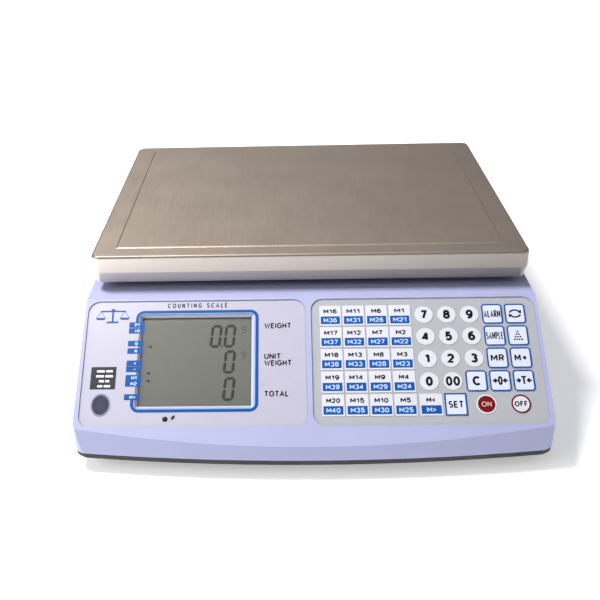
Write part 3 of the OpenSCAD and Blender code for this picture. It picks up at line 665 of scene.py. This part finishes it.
def segment_digit(printed, u, v, w, h, on, mat, lean=0.09, t=1.9, gap=0.12, lift=0.0):
    """A seven-segment digit whose lower right corner is at u, v."""

    def bar(x0, y0, x1, y1):
        """One segment: a bar with pointed ends, a gap short of each corner."""
        long = math.hypot(x1 - x0, y1 - y0)
        dx, dy = (x1 - x0) / long, (y1 - y0) / long
        px, py = -dy * t / 2, dx * t / 2
        a, b, m = gap, long - gap, t / 2
        pts = [
            (x0 + dx * a, y0 + dy * a),
            (x0 + dx * (a + m) - px, y0 + dy * (a + m) - py),
            (x0 + dx * (b - m) - px, y0 + dy * (b - m) - py),
            (x0 + dx * b, y0 + dy * b),
            (x0 + dx * (b - m) + px, y0 + dy * (b - m) + py),
            (x0 + dx * (a + m) + px, y0 + dy * (a + m) + py),
        ]
        printed.plate([(u - w + x + lean * y, y - v) for x, y in pts], mat, lift)

    # ends of each segment, in its usual lettering
    spans = {
        "a": (0, h, w, h),
        "b": (w, h / 2, w, h),
        "c": (w, 0, w, h / 2),
        "d": (0, 0, w, 0),
        "e": (0, 0, 0, h / 2),
        "f": (0, h / 2, 0, h),
        "g": (0, h / 2, w, h / 2),
    }
    for s in on:
        bar(*spans[s])


# ---------------------------------------------------------------- display side

display = Print("display_print", "casing", OVERLAY_N)
WINDOW_U, WINDOW_V = console_place("display_window")
# Middles of the tabs down the window's left side
TABS = (17.1, 21.3, 30.4, 35.7, 44.3, 48.4, 54.3, 58.3, 67.4)
TAB_SIGNS = ("PT", ">0", "G", "N", "+", "-", "M1", "M2", "M+")
TAB_U = -114.4


def open_frame(w, h, r):
    """Line round the window that leaves out its left side between the first and last tab."""
    loop = moved(rounded(w, h, r), WINDOW_U, WINDOW_V)
    half = len(loop) // 2
    left = WINDOW_U - w / 2
    return [(left, -TABS[-1])] + loop[half:] + loop[:half] + [(left, -TABS[0])]


display.stroke(open_frame(79.6, 68.8, 4.5), 2.1, "azure")
display.stroke(open_frame(77.1, 66.3, 3.3), 0.4, "sky")
display.text("COUNTING SCALE", WINDOW_U, 3.4, 3.5, "title", width=40, space=0.3)
LABEL_U = -30
for words, v, width in (
    ("WEIGHT", 18.7, 17.8),
    ("UNIT", 40.3, 11.0),
    ("WEIGHT", 44.9, 17.8),
    ("TOTAL", 65.9, 15.6),
):
    display.text(words, LABEL_U, v, 4.0, "black", width=width, weight=0.205, space=0.09, left=True)

# plate for the ratings: plain bars, in pairs, where the figures would be
PLATE_U, PLATE_V = -133.9, 54.3
BARS_U, BARS_V, BARS_PITCH = -133.2, 49.6, 3.4
BAR_GAP = 0.8
display.plate(moved(rounded(16.4, 15.4, 0.4), PLATE_U, PLATE_V), "plate")
for row, runs in enumerate(((5.2, 4.4), (5.2, 5.0), (3.4, 2.6), (3.4, 4.2))):
    x = BARS_U - (sum(runs) + BAR_GAP) / 2
    for run in runs:
        bar = moved(rounded(run, 1.5, 0.5), x + run / 2, BARS_V + BARS_PITCH * row)
        display.plate(bar, "white", 0.01)
        x += run + BAR_GAP

# a plain balance: post, foot, beam, knob, and two dishes that hang on two cords each
BALANCE_U = -131
BEAM_V, DISH_V = 7.0, 11.6
for w, h, v in ((1.2, 8.4, 10.6), (8.0, 1.3, 15.0), (17.0, 1.1, BEAM_V)):
    display.plate(moved(rounded(w, h, 0.4), BALANCE_U, v), "navy")
display.plate(moved(disc(1.3, 20), BALANCE_U, 6.4), "navy", 0.01)
DISH = ((-3.4, 0), (-2.4, -1.6), (2.4, -1.6), (3.4, 0))
for side in (-8, 8):
    dish_u = BALANCE_U + side
    display.plate(moved(DISH, dish_u, DISH_V), "navy")
    for way in (-3, 3):
        cord = ((-0.18, 4.4), (way - 0.18, -0.2), (way + 0.18, -0.2), (0.18, 4.4))
        display.plate(moved(cord, dish_u, DISH_V), "navy")

# charging sign beside the lamp
BOLT = ((-1.3, -0.4), (-0.4, -0.4), (-1.1, -1.9), (1.7, 0.5), (0.9, 0.5), (1.8, 1.8), (0.1, 1.8))
display.plate(moved(BOLT, -87.8, 81.6), "black")

# tinted face of the level, a little way down its sleeve, with a ring round it; the sleeve stands
# upright, so its outline on the slope is stretched
LEVEL_U = console_place("level_vial")[0]
LEVEL_V, LEVEL_DEEP = 72.9, -1.2
level_face = [(x, y / CS) for x, y in disc(5.2, 48)]
display.plate(moved(level_face, LEVEL_U, LEVEL_V), "tint", LEVEL_DEEP)
ring = [moved([(x * k, y * k) for x, y in level_face], LEVEL_U, LEVEL_V) for k in (0.8, 0.72)]
display.band(*ring, "tint_ring", LEVEL_DEEP + 0.03)
display.make()

tabs = Print("display_tabs", "casing", OVERLAY_N + 0.02)
for v, sign in zip(TABS, TAB_SIGNS):
    tabs.plate(moved(rounded(10.2, 4.0, 0.3), TAB_U, v), "azure", 0.02)
    tabs.text(sign, TAB_U + 0.4, v, 2.4, "ice", weight=0.22, lift=0.04)
tabs.make().visible_shadow = False

# surround that slopes from the film down to the liquid crystal: its edge under the film, its
# lower edge above the crystal, the gap below that, whose wall is near-black as painted shade, and its
# hidden back
RIM_TOP = OVERLAY_N - FILM - 0.04
# Width, height and middle of its upper opening and of its lower one
RIM = (75.4, 64.8, WINDOW_U, WINDOW_V)
GLASS = (72.7, 61.7, *console_place("lcd_glass"))
surround = Print("window_surround", "casing", 0)
levels = ((RIM, RIM_TOP), (GLASS, LCD_N + 0.9), (GLASS, LCD_N + 0.01), (RIM, RIM_TOP - 0.08))
loops = [surround.verts(moved(rounded(w, h, 0.3, 2), u, v), n) for (w, h, u, v), n in levels]
for k, a in enumerate(loops):
    b = loops[(k + 1) % len(loops)]
    for i in range(len(a)):
        j = (i + 1) % len(a)
        surround.face((a[i], a[j], b[j], b[i]), "gap" if k == 1 else "border")
surround.make()

lcd = Print("lcd_elements", "casing", LCD_N + 0.01, 0.02)
# Lower right corner of the last digit, and where the point, the unit and the pointers stand
DIGIT_U, DIGIT_PITCH, DIGIT_W, DIGIT_H = -50.6, 9.1, 5.6, 14.4
POINT_U, UNIT_U, POINTER_U = -58.0, -42.6, -107.2
ZERO = "abcdef"
# Each row's foot, and how many noughts it shows from its right end
for v, shown in ((31.8, 2), (50.0, 1), (68.6, 1)):
    for k in range(6):
        u = DIGIT_U - DIGIT_PITCH * k
        on = ZERO if k < shown else ""
        off = [s for s in "abcdefg" if s not in on]
        segment_digit(lcd, u, v, DIGIT_W, DIGIT_H, off, "ghost")
        segment_digit(lcd, u, v, DIGIT_W, DIGIT_H, on, "segment", lift=0.005)
    lcd.plate(moved(disc(0.6, 16), POINT_U, v), "segment" if shown == 2 else "ghost")
for v in (22.2, 40.0):
    segment_digit(lcd, UNIT_U, v, 2.2, 4.2, "abcdfg", "faint", t=0.65, gap=0.05)
for mat, places in (("segment", (31.6, 50.2, 55.5)), ("ghost", (18.9, 36.7, 61.1, 66.1))):
    for v in places:
        lcd.plate(moved(((0, 0), (3, -1.2), (3, 1.2)), POINTER_U, v), mat)
lcd.make()

# ---------------------------------------------------------------- keys


def key_print(name):
    """An empty print that rides a key, and the key's middle."""
    u, v = console_place(name)
    return Print(name + "_print", name, KEY_N), u, v


def outlined(name, r=2.1, w=13.5, h=14.3, line=1.0):
    """A key's print, begun with a blue line round the key."""
    p, u, v = key_print(name)
    inner = rounded(w - 2 * line, h - 2 * line, max(r - 0.9, 0.2))
    p.band(moved(rounded(w, h, r), u, v), moved(inner, u, v), "navy")
    return p, u, v


for digit in "0123456789":
    p, u, v = key_print("key_" + digit)
    p.text(digit, u, v, 6.5, "black", weight=0.25)
    p.make()
p, u, v = key_print("key_00")
p.text("00", u, v, 6.5, "black", weight=0.22, width=9.0, space=0.09)
p.make()

for name, words, width, height, weight, space in (
    ("key_clear", "C", 5.1, 6.4, 0.235, 0.14),
    ("key_alarm", "ALARM", 10.8, 5.2, 0.14, 0.05),
    ("key_sample", "SAMPLE", 11.2, 5.2, 0.125, 0.05),
    ("key_recall", "MR", 8.6, 4.8, 0.21, 0.14),
    ("key_add", "M+", 8.2, 4.8, 0.21, 0.14),
):
    p, u, v = outlined(name)
    p.text(words, u, v, height, "black", width=width, weight=weight, space=space)
    p.make()


def arrow(p, u, v, way, size, t=1.05):
    """Short arrow that points left or right, with its point at u."""
    barb = 1.5 * size
    p.stroke([(u - way * barb, -v + barb), (u, -v), (u - way * barb, -v - barb)], t, "black")
    p.stroke([(u - way * 2.9 * size, -v), (u - way * 0.4, -v)], t, "black")


# zero and tare: a sign between two arrows that point at it
for name, sign, width, away in (("key_zero", "0", 3.0, 2.2), ("key_tare", "T", 4.1, 2.3)):
    p, u, v = outlined(name)
    p.text(sign, u, v, 6.0, "black", width=width)
    for way in (1, -1):
        arrow(p, u - way * away, v, way, 0.9)
    p.make()

# swap: two arrows that chase each other round an oval
p, u, v = outlined("key_swap")
swoop = arc(0, 0, 3.6, 2.5, 165, 35)
tip = ((1.9, 0.6), (4.4, 0.2), (3.9, 2.9))
for way in (1, -1):
    p.stroke([(u + way * x, -v + way * y) for x, y in swoop], 1.1, "black")
    p.plate([(u + way * x, -v + way * y) for x, y in tip], "black")
p.make()

# quantity: a heap of dots, one more in each row
DOT_PITCH, DOT_RISE = 1.6, 1.8
p, u, v = outlined("key_quantity")
for row in range(4):
    for k in range(row + 1):
        place = (u + DOT_PITCH * (k - row / 2), v - 2.6 + DOT_RISE * row)
        p.plate(moved(disc(0.62, 12), *place), "black")
p.make()

p, u, v = outlined("key_set", 0.5, 14, 14.9)
p.text("SET", u, v, 4.6, "black", width=9.6, space=0.09, weight=0.2)
p.make()


def memory_legend(p, u, v, upper, lower, width=None):
    """A memory key's two signs: dark on the key, and pale on a blue field below."""
    p.text(upper, u, v - 3.1, 3.3, "black", width=width or 2.0 + 2.3 * len(upper), weight=0.24, space=0.09)
    p.plate(moved(rounded(12.6, 5.6, 0.2), u, v + 3.3), "blue")
    p.text(lower, u, v + 3.3, 3.2, "ice", width=width or 1.9 + 2.3 * len(lower), lift=0.01)


# The memory keys stand in columns that are numbered downwards, from right to left
COLUMNS, ROWS = 4, 5
HALF_KEY = 7.15
memory = Print("memory_legends", "casing", KEY_N)
lo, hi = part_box("memory_keys")
first_u, last_u = lo.x / MM + HALF_KEY, hi.x / MM - HALF_KEY
first_v, last_v = console_place("key_7")[1], console_place("key_set")[1]
for c in range(COLUMNS):
    for row in range(ROWS):
        number = ROWS * (COLUMNS - 1 - c) + row + 1
        u = first_u + (last_u - first_u) * c / (COLUMNS - 1)
        v = first_v + (last_v - first_v) * row / (ROWS - 1)
        memory_legend(memory, u, v, f"M{number}", f"M{number + COLUMNS * ROWS}")
memory.make()
p, u, v = key_print("key_shift")
memory_legend(p, u, v, "M<", "M>", 5.8)
p.make()

p, u, v = key_print("key_on")
p.plate(moved(disc(5.5), u, v), "red")
p.text("ON", u, v, 3.3, "blush", width=6.2, weight=0.16, lift=0.01)
p.make()
p, u, v = key_print("key_off")
p.band(moved(disc(6.15), u, v), moved(disc(5.1), u, v), "maroon")
p.text("OFF", u, v, 3.6, "black", width=8.2, weight=0.21)
p.make()

# ---------------------------------------------------------------- camera, floor and light

scene = bpy.context.scene

# The camera's place is measured from the middle of the front edge of the pan's rim, which lies
# a little below the pressed top. Its turns are in radians, its lens and sensor in millimetres.
TOP_STEP = 0.5 * MM
RIM_FRONT = Vector((0, pan_lo.y, pan_hi.z - TOP_STEP))
EYE = RIM_FRONT + Vector((-12.9, -514.1, 245.5)) * MM
YAW, PITCH, ROLL = -0.03422, 0.49821, -0.02884
SENSOR, LENS = 36.0, 51.25
SHIFT = 0.05967

forward = Vector((math.sin(YAW) * math.cos(PITCH), math.cos(YAW) * math.cos(PITCH), -math.sin(PITCH)))
right = forward.cross(Vector((0, 0, 1))).normalized()
up = right.cross(forward)
across = right * math.cos(ROLL) + up * math.sin(ROLL)
above = up * math.cos(ROLL) - right * math.sin(ROLL)
camera_data = bpy.data.cameras.new("camera")
camera_data.sensor_width = SENSOR
camera_data.lens = LENS
camera_data.shift_x = SHIFT
camera_data.clip_start = 0.02
camera_data.clip_end = 50
camera = bpy.data.objects.new("camera", camera_data)
scene.collection.objects.link(camera)
camera.matrix_world = Matrix.Translation(EYE) @ Matrix((across, above, -forward)).transposed().to_4x4()
scene.camera = camera
scene.view_settings.view_transform = "Standard"

FLOOR_REACH = 4.0
floor_mesh = bpy.data.meshes.new("floor")
grid = bmesh.new()
bmesh.ops.create_grid(grid, x_segments=2, y_segments=2, size=FLOOR_REACH)
grid.to_mesh(floor_mesh)
grid.free()
floor = bpy.data.objects.new("floor", floor_mesh)
scene.collection.objects.link(floor)
floor.data.materials.append(MAT["floor"])

# Square lights that face the middle of the scale: place and side in metres, and watts
AIM = Vector((0, 0, 0.06))
for name, place, side, watts in (
    ("key_light", (-1.25, -0.66, 0.75), 1.0, 14),
    ("top_light", (-0.5, 0.05, 1.15), 0.3, 19.5),
    ("fill_light", (1.4, -0.7, 0.9), 1.0, 0.4),
):
    light = bpy.data.lights.new(name, "AREA")
    light.size = side
    light.energy = watts
    lamp = bpy.data.objects.new(name, light)
    scene.collection.objects.link(lamp)
    lamp.location = place
    lamp.rotation_mode = "QUATERNION"
    lamp.rotation_quaternion = (AIM - Vector(place)).to_track_quat("-Z", "Y")

world = bpy.data.worlds.new("studio")
scene.world = world
world.use_nodes = True
background = world.node_tree.nodes["Background"]
background.inputs["Color"].default_value = (0.95, 0.96, 1.0, 1.0)
background.inputs["Strength"].default_value = 0.31
